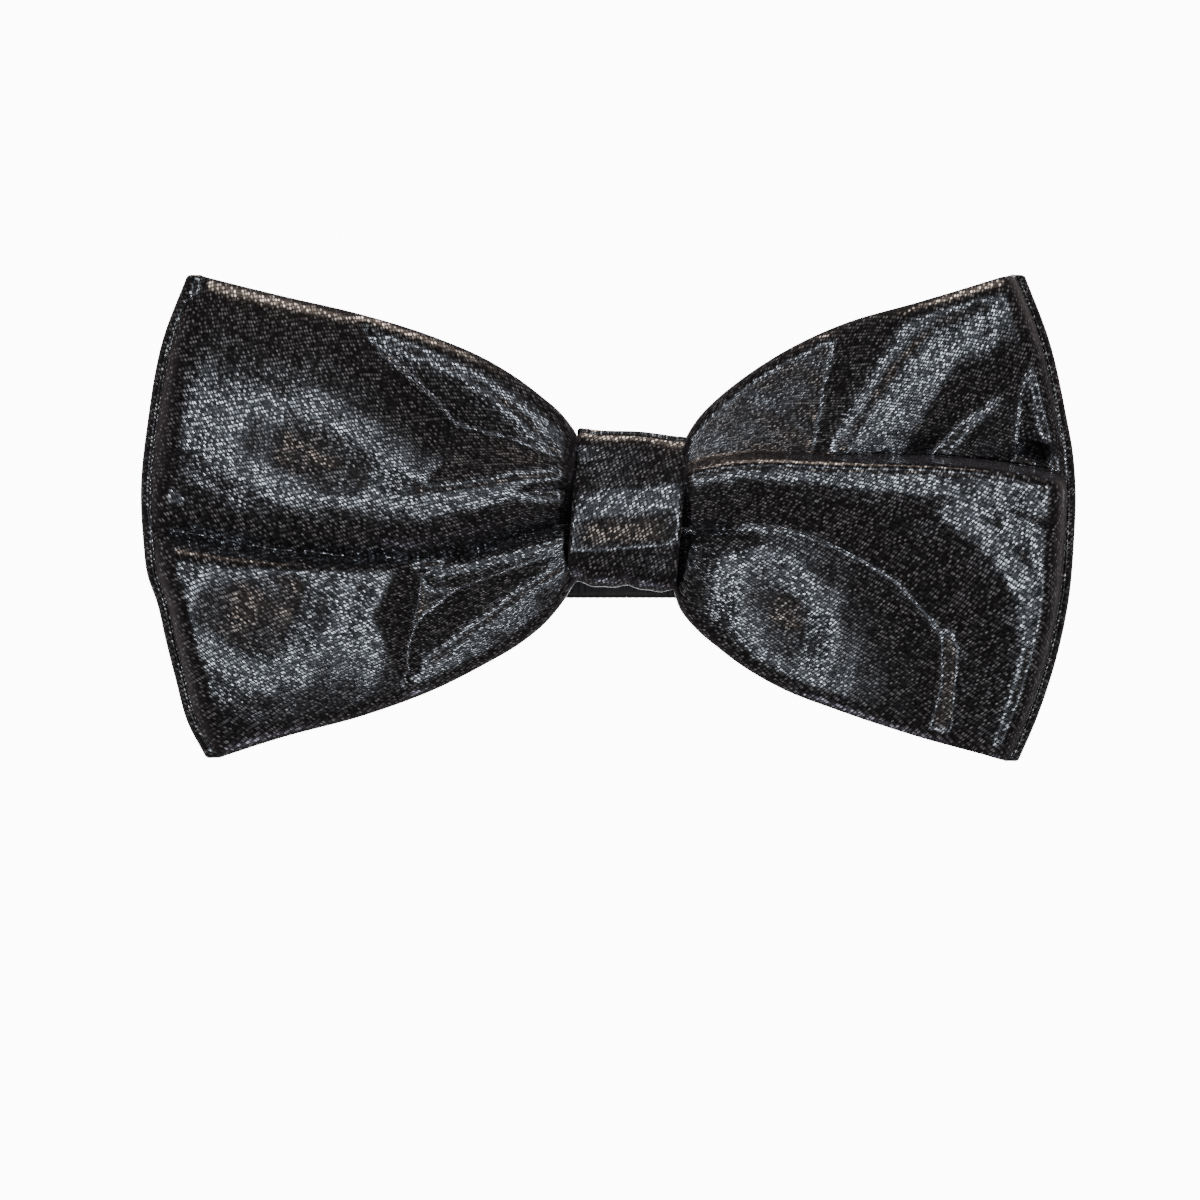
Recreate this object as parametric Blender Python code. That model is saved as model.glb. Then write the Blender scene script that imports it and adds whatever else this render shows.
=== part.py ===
"""Pre-tied satin bow tie with a two-jaw collar clip.

The bow is modelled as it is worn: front towards -Y, up along +Z, the wearer behind it at +Y.
The origin is the centre of the clip, on the plane of the two jaws' rear faces, which lie
against the collar stand. Everything is a separate solid, stacked from the wearer forwards:
jaws, clip base, backing ribbon, knot band, the two folded loops, and the knot band's front.
"""

import math

import bpy
import numpy as np
from mathutils import Vector

MM = 0.001

# Cloth thicknesses
LOOP_HALF = 0.90 * MM  # half the thickness of a loop's flattened satin tube
CAVITY_HALF = 0.52 * MM  # half the space inside that tube
INTERLINING_HALF = 0.15 * MM
EDGE_WALL = 0.8 * MM  # satin beyond the interlining at a loop's top and bottom edges
BAND_THICK = 0.9 * MM

# Outline of the wings: (x, z) points from the middle of the waist to the corner of the wing
LEFT_TOP = ((-0.3, 7.2), (-2.0, 7.3), (-5.6, 7.9), (-7.4, 9.2), (-9.0, 12.9), (-13.7, 16.9),
            (-22.0, 20.9), (-36.8, 25.6), (-56.6, 29.7))
LEFT_BOTTOM = ((-0.3, -6.9), (-2.0, -6.9), (-6.2, -6.5), (-8.6, -7.4), (-9.9, -12.6),
               (-13.7, -15.8), (-22.0, -20.8), (-36.8, -26.6), (-54.3, -31.4))
LEFT_END = ((-54.3, -31.4), (-57.5, -21.8), (-59.8, -11.6), (-61.6, -6.4), (-62.4, 2.6),
            (-60.4, 16.6), (-56.6, 29.7))
RIGHT_TOP = ((0.3, 7.2), (2.0, 7.2), (6.4, 6.9), (8.5, 8.0), (10.1, 12.4), (14.5, 16.8),
             (22.2, 21.3), (35.0, 25.9), (51.2, 29.7))
RIGHT_BOTTOM = ((0.3, -6.9), (2.0, -7.0), (5.6, -7.6), (7.4, -9.4), (8.9, -13.8), (14.5, -19.2),
                (22.2, -23.3), (35.0, -27.8), (50.3, -31.6))
RIGHT_END = ((50.3, -31.6), (53.3, -24.3), (55.8, -14.1), (57.4, -4.0), (57.5, 3.0),
             (55.3, 16.6), (51.2, 29.7))

# Depths of the loops' middle surfaces
WAIST_Y = -11.35 * MM
WAIST_HALF_MIDDLE = 1.85 * MM  # from WAIST_Y to each layer, half way up the waist
WAIST_HALF_EDGE = 1.15 * MM  # the same at the waist's top and bottom
FOLD_Y = -10.4 * MM  # centre of the fold at the end of each wing
FOLD_RADIUS = 1.25 * MM
PUFF = 5.6 * MM  # how far the front layer stands out
BACK_PUFF = 0.9 * MM
EDGE_OPENING = 1.4 * MM  # how far the layers part along the top and bottom edges
PLEAT_DEPTH = 2.2 * MM
PLEAT_WIDTH = 0.14  # share of the wing's height
KNOT_SHARE = 0.11  # share of a wing's length that lies inside the knot

# Knot
KNOT_CENTRE = (0.0, -12.15 * MM, 0.3 * MM)
KNOT_WIDTH = 14.1 * MM
KNOT_HALF_DEPTH = 5.1 * MM  # to the middle of the band
KNOT_HALF_HEIGHT = 9.5 * MM
KNOT_SQUARENESS = 5.0  # exponent of the band's superellipse
KNOT_TILT = math.radians(4.5)
KNOT_OVERLAP = 1.2 * MM  # how far the band's free end lies outside its start
PADDING_WIDTH = 12.0 * MM
PADDING_REACH = math.radians(38)

# Gathering thread round the waist, under the knot band
THREAD_RADIUS = 0.25 * MM
THREAD_TURNS = 3
THREAD_PITCH = 1.0 * MM
THREAD_HALF_DEPTH = 3.2 * MM
THREAD_HALF_HEIGHT = 8.0 * MM
THREAD_SQUARENESS = 6.0

# Backing ribbon
RIBBON_SIZE = (50.0 * MM, 1.0 * MM, 19.0 * MM)
RIBBON_CENTRE = (0.0, -4.6 * MM, -1.5 * MM)

# Collar clip
PLATE_SIZE = (44.0 * MM, 0.7 * MM, 12.0 * MM)
PLATE_Y = -3.45 * MM
PLATE_CORNER = 3.0 * MM
HINGE_X = 6.5 * MM
HINGE_Y = -1.65 * MM
EAR_THICK = 0.7 * MM
EAR_INNER_Z = 5.6 * MM
EAR_HALF_WIDTH = 1.3 * MM
EAR_BORE_RADIUS = 0.62 * MM
PIN_RADIUS = 0.5 * MM
PIN_HEAD_RADIUS = 0.95 * MM
PIN_HEAD_THICK = 0.35 * MM
SEWING_HOLE_X = 16.5 * MM
SEWING_HOLE_Z = 3.0 * MM
SEWING_HOLE_RADIUS = 0.5 * MM

# Jaws
JAW_THICK = 0.7 * MM
JAW_HALF_HEIGHT = 4.6 * MM
JAW_TIP_X = 21.0 * MM
JAW_TAIL_X = 1.2 * MM
JAW_TAIL_HALF_HEIGHT = 3.2 * MM
KNUCKLE_RADIUS = 1.2 * MM
KNUCKLE_INNER_Z = 2.1 * MM
KNUCKLE_OUTER_Z = 5.2 * MM
WINDOW_HALF_WIDTH = 1.5 * MM
WINDOW_HALF_HEIGHT = 1.9 * MM
TEETH = 6
TOOTH_TIP_Y = -2.8 * MM
TOOTH_ROOT_Y = -2.0 * MM

# Torsion springs
SPRING_RADIUS = 0.75 * MM
SPRING_WIRE_RADIUS = 0.12 * MM
SPRING_TURNS = 5
SPRING_HALF_LENGTH = 1.3 * MM
SPRING_LEG = 4.2 * MM


def remove_everything():
    for obj in list(bpy.data.objects):
        bpy.data.objects.remove(obj)


def material(name, colour, roughness, metallic=0.0):
    made = bpy.data.materials.new(name)
    made.use_nodes = True
    shader = made.node_tree.nodes["Principled BSDF"]
    shader.inputs["Base Color"].default_value = (*colour, 1.0)
    shader.inputs["Roughness"].default_value = roughness
    shader.inputs["Metallic"].default_value = metallic
    return made


def link(obj, parent=None, helper=False):
    bpy.context.scene.collection.objects.link(obj)
    obj.parent = parent
    if helper:
        obj.hide_render = True
        obj.display_type = "WIRE"
    return obj


def mesh_object(name, points, faces, surface=None, parent=None, helper=False, smooth=True):
    mesh = bpy.data.meshes.new(name)
    mesh.from_pydata([tuple(p) for p in points], [], faces)
    mesh.validate()
    if surface:
        mesh.materials.append(surface)
    if smooth:
        mesh.shade_smooth()
        mesh.set_sharp_from_angle(angle=math.radians(40))
    return link(bpy.data.objects.new(name, mesh), parent, helper)


def tool_shape(name, shape, parent=None):
    """A hidden solid that a Boolean adds to its object or cuts from it."""
    return mesh_object(name, *shape, parent=parent, helper=True, smooth=False)


def wire_object(name, points, radius, surface, cyclic=False, parent=None, rings=2):
    """A round wire or thread along the points."""
    curve = bpy.data.curves.new(name, "CURVE")
    curve.dimensions = "3D"
    curve.bevel_depth = radius
    curve.bevel_resolution = rings
    curve.use_fill_caps = True
    spline = curve.splines.new("POLY")
    spline.points.add(len(points) - 1)
    for target, point in zip(spline.points, points):
        target.co = (*point, 1.0)
    spline.use_cyclic_u = cyclic
    curve.materials.append(surface)
    return link(bpy.data.objects.new(name, curve), parent)


def loft(profiles, inner_profiles=None):
    """Points and faces of a solid through closed profiles, hollow from end to end if inner ones are given."""
    points = [p for profile in profiles for p in profile]
    size = len(profiles[0])
    faces = []
    for i in range(len(profiles) - 1):
        for j in range(size):
            k = (j + 1) % size
            faces.append((i * size + j, i * size + k, (i + 1) * size + k, (i + 1) * size + j))
    last = (len(profiles) - 1) * size
    if inner_profiles is None:
        faces.append(tuple(reversed(range(size))))
        faces.append(tuple(last + j for j in range(size)))
        return points, faces
    start = len(points)
    points += [p for profile in inner_profiles for p in profile]
    for i in range(len(inner_profiles) - 1):
        for j in range(size):
            k = (j + 1) % size
            a = start + i * size
            faces.append((a + k, a + j, a + size + j, a + size + k))
    for j in range(size):
        k = (j + 1) % size
        faces.append((j, start + j, start + k, k))
        faces.append((last + k, start + last + k, start + last + j, last + j))
    return points, faces


def extrude(outline, low, high):
    """Points and faces of a prism: outline maps a height to its closed list of points."""
    return loft([outline(low), outline(high)])


def boolean(obj, other, operation):
    modifier = obj.modifiers.new(f"{operation.lower()} {other.name}", "BOOLEAN")
    modifier.object = other
    modifier.operation = operation
    modifier.solver = "EXACT"


def arc(centre, radius, start, end, steps):
    """Points on an arc, both ends included."""
    angles = np.linspace(start, end, steps + 1)
    return [(centre[0] + radius * math.cos(a), centre[1] + radius * math.sin(a)) for a in angles]


def circle(centre, radius, steps):
    return arc(centre, radius, 0.0, 2 * math.pi, steps)[:-1]


def curve_through(points):
    """Evenly spaced samples of a smooth curve through the points, which are in millimetres."""
    points = np.array(points) * MM
    at = np.concatenate([[0], np.cumsum(np.linalg.norm(np.diff(points, axis=0), axis=1))])
    tangents = np.gradient(points, at, axis=0)
    samples = []
    for i in range(len(points) - 1):
        span = at[i + 1] - at[i]
        for t in np.linspace(0, 1, 24, endpoint=i == len(points) - 2):
            blend = (2 * t**3 - 3 * t**2 + 1, (t**3 - 2 * t**2 + t) * span,
                     3 * t**2 - 2 * t**3, (t**3 - t**2) * span)
            samples.append(blend[0] * points[i] + blend[1] * tangents[i]
                           + blend[2] * points[i + 1] + blend[3] * tangents[i + 1])
    samples = np.array(samples)
    length = np.concatenate([[0], np.cumsum(np.linalg.norm(np.diff(samples, axis=0), axis=1))])
    even = np.linspace(0, length[-1], 200)
    return np.stack([np.interp(even, length, samples[:, k]) for k in (0, 1)], axis=1)


def along(curve, t):
    at = np.linspace(0, 1, len(curve))
    return np.array([np.interp(t, at, curve[:, 0]), np.interp(t, at, curve[:, 1])])


def smooth_step(t):
    t = min(max(t, 0.0), 1.0)
    return t * t * (3 - 2 * t)


class Wing:
    """The middle surface of one loop: front layer, fold at the wing's end, back layer."""

    def __init__(self, top, bottom, end, pleat):
        inset = FOLD_RADIUS + LOOP_HALF
        self.outward = math.copysign(1.0, top[-1][0])
        self.top = curve_through(top)
        self.bottom = curve_through(bottom)
        self.end = curve_through(end)
        for curve in (self.top, self.bottom):
            share = np.linspace(0, 1, len(curve)) ** 4
            curve[:, 0] -= self.outward * inset * share
        self.end[:, 0] -= self.outward * inset
        self.pleat = pleat

    def outline(self, u, v):
        """(x, z) at u along the wing and v up it: a Coons patch of the four edges."""
        top, bottom = along(self.top, u), along(self.bottom, u)
        waist = self.bottom[0] * (1 - v) + self.top[0] * v
        end = along(self.end, v)
        corners = ((self.bottom[0] * (1 - v) + self.top[0] * v) * (1 - u)
                   + (self.bottom[-1] * (1 - v) + self.top[-1] * v) * u)
        return bottom * (1 - v) + top * v + waist * (1 - u) + end * u - corners

    def depth(self, u, v, layer):
        """y of the front layer (-1) or the back one (+1)."""
        t = max(0.0, (u - KNOT_SHARE) / (1 - KNOT_SHARE))
        rise = math.sin(math.pi * t**0.75)
        middle = 1 - abs(2 * v - 1) ** 2.5
        waist = WAIST_HALF_EDGE + (WAIST_HALF_MIDDLE - WAIST_HALF_EDGE) * middle
        blend = smooth_step(t)
        y = (WAIST_Y + layer * waist) * (1 - blend) + (FOLD_Y + layer * FOLD_RADIUS) * blend
        opening = EDGE_OPENING * rise
        if layer > 0:
            return y + rise * (BACK_PUFF * middle)
        start, finish = self.pleat
        off = (v - start - (finish - start) * t) / PLEAT_WIDTH
        valley = PLEAT_DEPTH * math.sin(math.pi * min(1.0, t * 1.15 + 0.12)) * math.exp(-off * off)
        return y - opening - (PUFF - EDGE_OPENING) * rise * math.sin(math.pi * v) ** 0.7 + valley

    def middle(self, s, v):
        """Point at s: 0 to 1 is the front, 1 to 2 the fold, 2 to 3 the back."""
        if s <= 1:
            x, z = self.outline(s, v)
            return Vector((x, self.depth(s, v, -1), z))
        if s < 2:
            x, z = self.outline(1.0, v)
            angle = math.pi * (s - 1)
            return Vector((x + self.outward * FOLD_RADIUS * math.sin(angle),
                           FOLD_Y - FOLD_RADIUS * math.cos(angle), z))
        x, z = self.outline(3 - s, v)
        return Vector((x, self.depth(3 - s, v, 1), z))

    def normal(self, s, v):
        """Unit normal on the outside of the loop."""
        ds, dv = 0.004, 0.01
        a, b = max(0.0, s - ds), min(3.0, s + ds)
        along_s = self.middle(b, v) - self.middle(a, v)
        along_v = self.middle(s, min(1.0, v + dv)) - self.middle(s, max(0.0, v - dv))
        return self.outward * along_v.cross(along_s).normalized()

    def profile(self, s, half, edge, columns=8):
        """Closed cross-section at s, half each side of the middle surface, edge short of the wing's edges."""
        height = (self.middle(s, 1.0) - self.middle(s, 0.0)).length
        low, high = edge / height, 1 - edge / height
        heights = [low, *np.linspace(0, 1, columns + 1)[1:-1], high]
        outer = [self.middle(s, v) + half * self.normal(s, v) for v in heights]
        inner = [self.middle(s, v) - half * self.normal(s, v) for v in heights]
        section = outer + inner[::-1]
        return section if self.outward > 0 else section[::-1]


STATIONS = [*np.linspace(0.0, 0.16, 4), *np.linspace(0.24, 1.0, 9), 1.2, 1.4, 1.6, 1.8,
            *np.linspace(2.0, 2.76, 7), *np.linspace(2.84, 3.0, 4)]


def make_loop(side, wing, satin, interlining):
    outer = [wing.profile(s, LOOP_HALF, 0.0) for s in STATIONS]
    cavity = [wing.profile(s, CAVITY_HALF, EDGE_WALL) for s in STATIONS]
    mesh_object(f"{side}_loop", *loft(outer, cavity), satin)
    core = [wing.profile(s, INTERLINING_HALF, EDGE_WALL + 0.3 * MM) for s in STATIONS[1:-1]]
    mesh_object(f"{side}_interlining", *loft(core), interlining)


def superellipse(angle, half_depth, half_height, power):
    """(y, z) on a squared oval. Angle 0 is the front and it runs up over the top."""
    c, s = math.cos(angle), math.sin(angle)
    return (-half_depth * math.copysign(abs(c) ** (2 / power), c),
            half_height * math.copysign(abs(s) ** (2 / power), s))


def even_angles(start, end, steps, half_depth, half_height, power):
    """Angles from start to end that are evenly spaced along the oval's own length."""
    fine = np.linspace(start, end, 2000)
    line = np.array([superellipse(a, half_depth, half_height, power) for a in fine])
    length = np.concatenate([[0], np.cumsum(np.linalg.norm(np.diff(line, axis=0), axis=1))])
    return np.interp(np.linspace(0, length[-1], steps + 1), length, fine)


def strip(angles, inset, width, overlap=0.0):
    """Lofted cloth strip round the knot's oval, its middle inset from the band's."""
    depth, height = KNOT_HALF_DEPTH - inset, KNOT_HALF_HEIGHT - inset
    outer_end = angles[-1] - angles[0] - 2 * math.pi
    profiles = []
    for angle in angles:
        passed = (angle - angles[0] - 2 * math.pi + outer_end) / max(outer_end, 1e-9)
        lift = overlap * smooth_step(passed)
        section = []
        for across, off in ((-0.5, -0.5), (-0.5, 0.5), (0.5, 0.5), (0.5, -0.5)):
            grow = lift + off * BAND_THICK
            y, z = superellipse(angle, depth + grow, height + grow, KNOT_SQUARENESS)
            section.append((across * width, y, z))
        profiles.append(section)
    return loft(profiles)


def make_knot(satin, interlining):
    holder = link(bpy.data.objects.new("knot", None))
    holder.location = KNOT_CENTRE
    holder.rotation_euler = (0.0, KNOT_TILT, 0.0)
    oval = (KNOT_HALF_DEPTH, KNOT_HALF_HEIGHT, KNOT_SQUARENESS)
    overlap_angle = math.radians(20)
    angles = even_angles(-math.pi + overlap_angle, math.pi + 2.2 * overlap_angle, 52, *oval)
    mesh_object("knot_band", *strip(angles, 0.0, KNOT_WIDTH, KNOT_OVERLAP), satin, holder)
    angles = even_angles(-PADDING_REACH, PADDING_REACH, 14, *oval)
    mesh_object("knot_padding", *strip(angles, BAND_THICK + 0.3 * MM, PADDING_WIDTH), interlining, holder)


def make_gathering_thread(cotton):
    oval = (THREAD_HALF_DEPTH, THREAD_HALF_HEIGHT, THREAD_SQUARENESS)
    angles = even_angles(0.0, 2 * math.pi * THREAD_TURNS, 26 * THREAD_TURNS, *oval)
    points = []
    for angle in angles:
        y, z = superellipse(angle, *oval)
        points.append((THREAD_PITCH * (angle / (2 * math.pi) - THREAD_TURNS / 2), WAIST_Y + y, z))
    wire_object("gathering_thread", points, THREAD_RADIUS, cotton, rings=1)


def rounded_rectangle(half_width, half_height, radius, steps=5):
    corners = ((1, 1, 0), (-1, 1, 1), (-1, -1, 2), (1, -1, 3))
    points = []
    for sx, sz, quarter in corners:
        centre = (sx * (half_width - radius), sz * (half_height - radius))
        points += arc(centre, radius, quarter * math.pi / 2, (quarter + 1) * math.pi / 2, steps)
    return points


def plate(outline, low, high):
    """A flat plate: an (x, z) outline, anticlockwise, from y low to y high."""
    return extrude(lambda y: [(x, y, z) for x, z in reversed(outline)], low, high)


def rod_z(centre, radius, low, high, steps=16):
    return extrude(lambda z: [(x, y, z) for x, y in circle(centre, radius, steps)], low, high)


def rod_y(centre, radius, low, high, steps=12):
    return plate(circle(centre, radius, steps), low, high)


def sewing_holes(obj, y, reach):
    """Cuts the four holes that the clip's tacking thread goes through."""
    for sx in (-1, 1):
        for sz in (-1, 1):
            name = f"sewing_hole {obj.name} {sx} {sz}"
            shape = rod_y((sx * SEWING_HOLE_X, sz * SEWING_HOLE_Z), SEWING_HOLE_RADIUS, y - reach, y + reach)
            boolean(obj, tool_shape(name, shape), "DIFFERENCE")


def make_ribbon(satin, cotton):
    width, thick, height = RIBBON_SIZE
    cx, cy, cz = RIBBON_CENTRE
    outline = [(cx + x, cz + z) for x, z in rounded_rectangle(width / 2, height / 2, 1.2 * MM, 3)]
    ribbon = mesh_object("backing_ribbon", *plate(outline, cy - thick / 2, cy + thick / 2), satin)
    sewing_holes(ribbon, cy, thick)
    rear = cy + thick / 2 + THREAD_RADIUS + 0.2 * MM
    rows = {"upper": (PLATE_SIZE[2] / 2 + 0.8 * MM, 0.8 * MM, 14),
            "lower": (-PLATE_SIZE[2] / 2 - 2.9 * MM, 2.0 * MM, 10)}
    for name, (low, rise, count) in rows.items():
        span = 12.0 * MM
        across = np.linspace(-span / 2, span / 2, count + 1)
        points = [(x, rear, low + rise * (i % 2)) for i, x in enumerate(across)]
        wire_object(f"backing_stitches_{name}", points, THREAD_RADIUS * 0.8, cotton, rings=1)
    for side, sx in (("left", -1), ("right", 1)):
        front_y = cy - thick / 2 - THREAD_RADIUS - 0.1 * MM
        back_y = PLATE_Y + PLATE_SIZE[1] / 2 + THREAD_RADIUS + 0.1 * MM
        x = sx * SEWING_HOLE_X
        path = [(x, back_y, -SEWING_HOLE_Z), (x, back_y, SEWING_HOLE_Z),
                (x, front_y, SEWING_HOLE_Z), (x, front_y, -SEWING_HOLE_Z)]
        wire_object(f"{side}_clip_tack", path, THREAD_RADIUS, cotton, cyclic=True, rings=2)


def make_clip_base(steel):
    width, thick, height = PLATE_SIZE
    outline = rounded_rectangle(width / 2, height / 2, PLATE_CORNER)
    base = mesh_object("clip_base", *plate(outline, PLATE_Y - thick / 2, PLATE_Y + thick / 2), steel)
    foot = PLATE_Y - thick * 0.1
    for sx in (-1, 1):
        for sz in (-1, 1):
            centre = (sx * HINGE_X, HINGE_Y)
            ear = [(centre[0] + EAR_HALF_WIDTH, foot)] + arc(centre, EAR_HALF_WIDTH, 0.0, math.pi, 8)
            ear.append((centre[0] - EAR_HALF_WIDTH, foot))
            near = sz * EAR_INNER_Z
            far = sz * (EAR_INNER_Z + EAR_THICK)
            shape = extrude(lambda z, ear=ear: [(x, y, z) for x, y in ear], min(near, far), max(near, far))
            name = f"ear {sx} {sz}"
            boolean(base, tool_shape(name, shape), "UNION")
        bore = rod_z((sx * HINGE_X, HINGE_Y), EAR_BORE_RADIUS, -height, height)
        boolean(base, tool_shape(f"bore {sx}", bore), "DIFFERENCE")
    sewing_holes(base, PLATE_Y, thick)


def make_pin(side, hinge, steel):
    """A riveted pin turned about z: shank with a head at each end."""
    end = EAR_INNER_Z + EAR_THICK + 0.1 * MM
    rings = ((PIN_HEAD_RADIUS * 0.7, -end - PIN_HEAD_THICK), (PIN_HEAD_RADIUS, -end - PIN_HEAD_THICK * 0.6),
             (PIN_HEAD_RADIUS, -end), (PIN_RADIUS, -end), (PIN_RADIUS, end), (PIN_HEAD_RADIUS, end),
             (PIN_HEAD_RADIUS, end + PIN_HEAD_THICK * 0.6), (PIN_HEAD_RADIUS * 0.7, end + PIN_HEAD_THICK))
    profiles = [[(x, y, z) for x, y in circle((0.0, 0.0), r, 16)] for r, z in rings]
    mesh_object(f"{side}_hinge_pin", *loft(profiles), steel, hinge)


def make_spring(side, outward, hinge, steel):
    """A torsion spring on the pin: one leg on the clip base, the other under the jaw's tail."""
    steps = 11
    points = [(-outward * SPRING_LEG, -SPRING_RADIUS - 0.35 * MM, -SPRING_HALF_LENGTH)]
    count = int((SPRING_TURNS + 0.5) * steps)
    for i in range(count + 1):
        angle = -math.pi / 2 + outward * 2 * math.pi * (SPRING_TURNS + 0.5) * i / count
        z = SPRING_HALF_LENGTH * (2 * i / count - 1)
        points.append((SPRING_RADIUS * math.cos(angle), SPRING_RADIUS * math.sin(angle), z))
    points.append((-outward * SPRING_LEG, SPRING_RADIUS, SPRING_HALF_LENGTH))
    wire_object(f"{side}_torsion_spring", points, SPRING_WIRE_RADIUS, steel, parent=hinge, rings=1)


def make_jaw(side, outward, hinge, steel):
    """A stamped jaw about its hinge: gripping arm outwards, finger tail inwards, teeth at the tip."""
    rear = -HINGE_Y
    tip = JAW_TIP_X - HINGE_X
    tail = HINGE_X - JAW_TAIL_X
    shoulder = tail - 2.6 * MM
    outline = [(tip, -JAW_HALF_HEIGHT), (tip, JAW_HALF_HEIGHT), (-shoulder, JAW_HALF_HEIGHT)]
    outline += arc((-tail + 1.0 * MM, JAW_TAIL_HALF_HEIGHT - 1.0 * MM), 1.0 * MM, math.pi / 2, math.pi, 4)
    outline += arc((-tail + 1.0 * MM, 1.0 * MM - JAW_TAIL_HALF_HEIGHT), 1.0 * MM, math.pi, 1.5 * math.pi, 4)
    outline.append((-shoulder, -JAW_HALF_HEIGHT))
    if outward < 0:
        outline = [(-x, z) for x, z in reversed(outline)]
    jaw = mesh_object(f"{side}_jaw", *plate(outline, rear - JAW_THICK, rear), steel, hinge)
    for sz in (-1, 1):
        near, far = sz * KNUCKLE_INNER_Z, sz * KNUCKLE_OUTER_Z
        knuckle = rod_z((0.0, 0.0), KNUCKLE_RADIUS, min(near, far), max(near, far), 20)
        boolean(jaw, tool_shape(f"knuckle {side} {sz}", knuckle, hinge), "UNION")
    boolean(jaw, make_teeth(side, outward, hinge), "UNION")
    bore = rod_z((0.0, 0.0), EAR_BORE_RADIUS, -2 * KNUCKLE_OUTER_Z, 2 * KNUCKLE_OUTER_Z)
    boolean(jaw, tool_shape(f"jaw bore {side}", bore, hinge), "DIFFERENCE")
    window = rounded_rectangle(WINDOW_HALF_WIDTH, WINDOW_HALF_HEIGHT, 0.5 * MM, 3)
    shape = plate(window, rear - 2 * JAW_THICK, rear + JAW_THICK)
    boolean(jaw, tool_shape(f"window {side}", shape, hinge), "DIFFERENCE")


def make_teeth(side, outward, hinge):
    """The jaw's turned-down end, with a row of teeth that meets the clip base."""
    inner = outward * (JAW_TIP_X - HINGE_X - JAW_THICK)
    outer = outward * (JAW_TIP_X - HINGE_X - 0.02 * MM)
    buried = -HINGE_Y - 0.3 * MM
    pitch = 2 * JAW_HALF_HEIGHT / TEETH
    edge = [(TOOTH_ROOT_Y - HINGE_Y, -JAW_HALF_HEIGHT)]
    for i in range(TEETH):
        z = -JAW_HALF_HEIGHT + (i + 0.5) * pitch
        edge.append((TOOTH_TIP_Y - HINGE_Y, z))
        edge.append((TOOTH_ROOT_Y - HINGE_Y, z + pitch / 2))
    outline = [(buried, -JAW_HALF_HEIGHT)] + edge + [(buried, JAW_HALF_HEIGHT)]
    low, high = min(inner, outer), max(inner, outer)
    shape = extrude(lambda x: [(x, y, z) for y, z in reversed(outline)], low, high)
    return tool_shape(f"teeth {side}", shape, hinge)


def make_clip(steel, spring_steel):
    make_clip_base(steel)
    for side, outward in (("left", -1), ("right", 1)):
        hinge = link(bpy.data.objects.new(f"{side}_hinge", None))
        hinge.location = (outward * HINGE_X, HINGE_Y, 0.0)
        make_pin(side, hinge, steel)
        make_spring(side, outward, hinge, spring_steel)
        make_jaw(side, outward, hinge, steel)


def main():
    remove_everything()
    satin = material("black satin", (0.012, 0.012, 0.014), 0.35)
    interlining = material("white interlining", (0.75, 0.74, 0.70), 0.9)
    cotton = material("black thread", (0.015, 0.015, 0.015), 0.7)
    steel = material("nickel-plated steel", (0.72, 0.71, 0.68), 0.25, 1.0)
    spring_steel = material("spring steel", (0.45, 0.45, 0.46), 0.3, 1.0)
    make_loop("left", Wing(LEFT_TOP, LEFT_BOTTOM, LEFT_END, (0.36, 0.44)), satin, interlining)
    make_loop("right", Wing(RIGHT_TOP, RIGHT_BOTTOM, RIGHT_END, (0.66, 0.60)), satin, interlining)
    make_gathering_thread(cotton)
    make_knot(satin, interlining)
    make_ribbon(satin, cotton)
    make_clip(steel, spring_steel)


main()
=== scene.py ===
import math

import bmesh
import bpy
import numpy as np
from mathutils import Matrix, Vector


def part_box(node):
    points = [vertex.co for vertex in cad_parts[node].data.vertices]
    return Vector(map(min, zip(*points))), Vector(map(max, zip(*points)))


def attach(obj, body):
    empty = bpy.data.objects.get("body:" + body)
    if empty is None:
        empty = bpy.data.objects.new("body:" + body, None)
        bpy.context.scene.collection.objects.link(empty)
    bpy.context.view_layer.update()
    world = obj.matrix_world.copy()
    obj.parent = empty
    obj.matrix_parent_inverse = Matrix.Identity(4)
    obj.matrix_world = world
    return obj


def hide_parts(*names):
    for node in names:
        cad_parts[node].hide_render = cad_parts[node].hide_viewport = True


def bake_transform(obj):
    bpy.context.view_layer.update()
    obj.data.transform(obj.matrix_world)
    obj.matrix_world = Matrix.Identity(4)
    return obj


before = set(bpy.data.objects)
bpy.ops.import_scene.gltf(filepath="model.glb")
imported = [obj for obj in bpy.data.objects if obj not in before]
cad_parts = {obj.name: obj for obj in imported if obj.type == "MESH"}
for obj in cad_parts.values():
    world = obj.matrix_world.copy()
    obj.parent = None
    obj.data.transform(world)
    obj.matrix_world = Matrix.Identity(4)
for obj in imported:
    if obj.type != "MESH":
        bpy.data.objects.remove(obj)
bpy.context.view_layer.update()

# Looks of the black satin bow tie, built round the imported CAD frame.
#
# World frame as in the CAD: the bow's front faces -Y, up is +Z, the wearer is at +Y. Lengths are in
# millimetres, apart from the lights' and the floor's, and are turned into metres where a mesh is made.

MM = 0.001
TAU = 2 * math.pi


def cad_box(node):
    """A CAD node's lowest and highest corners, in mm."""
    return [np.array(corner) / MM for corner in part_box(node)]


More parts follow.
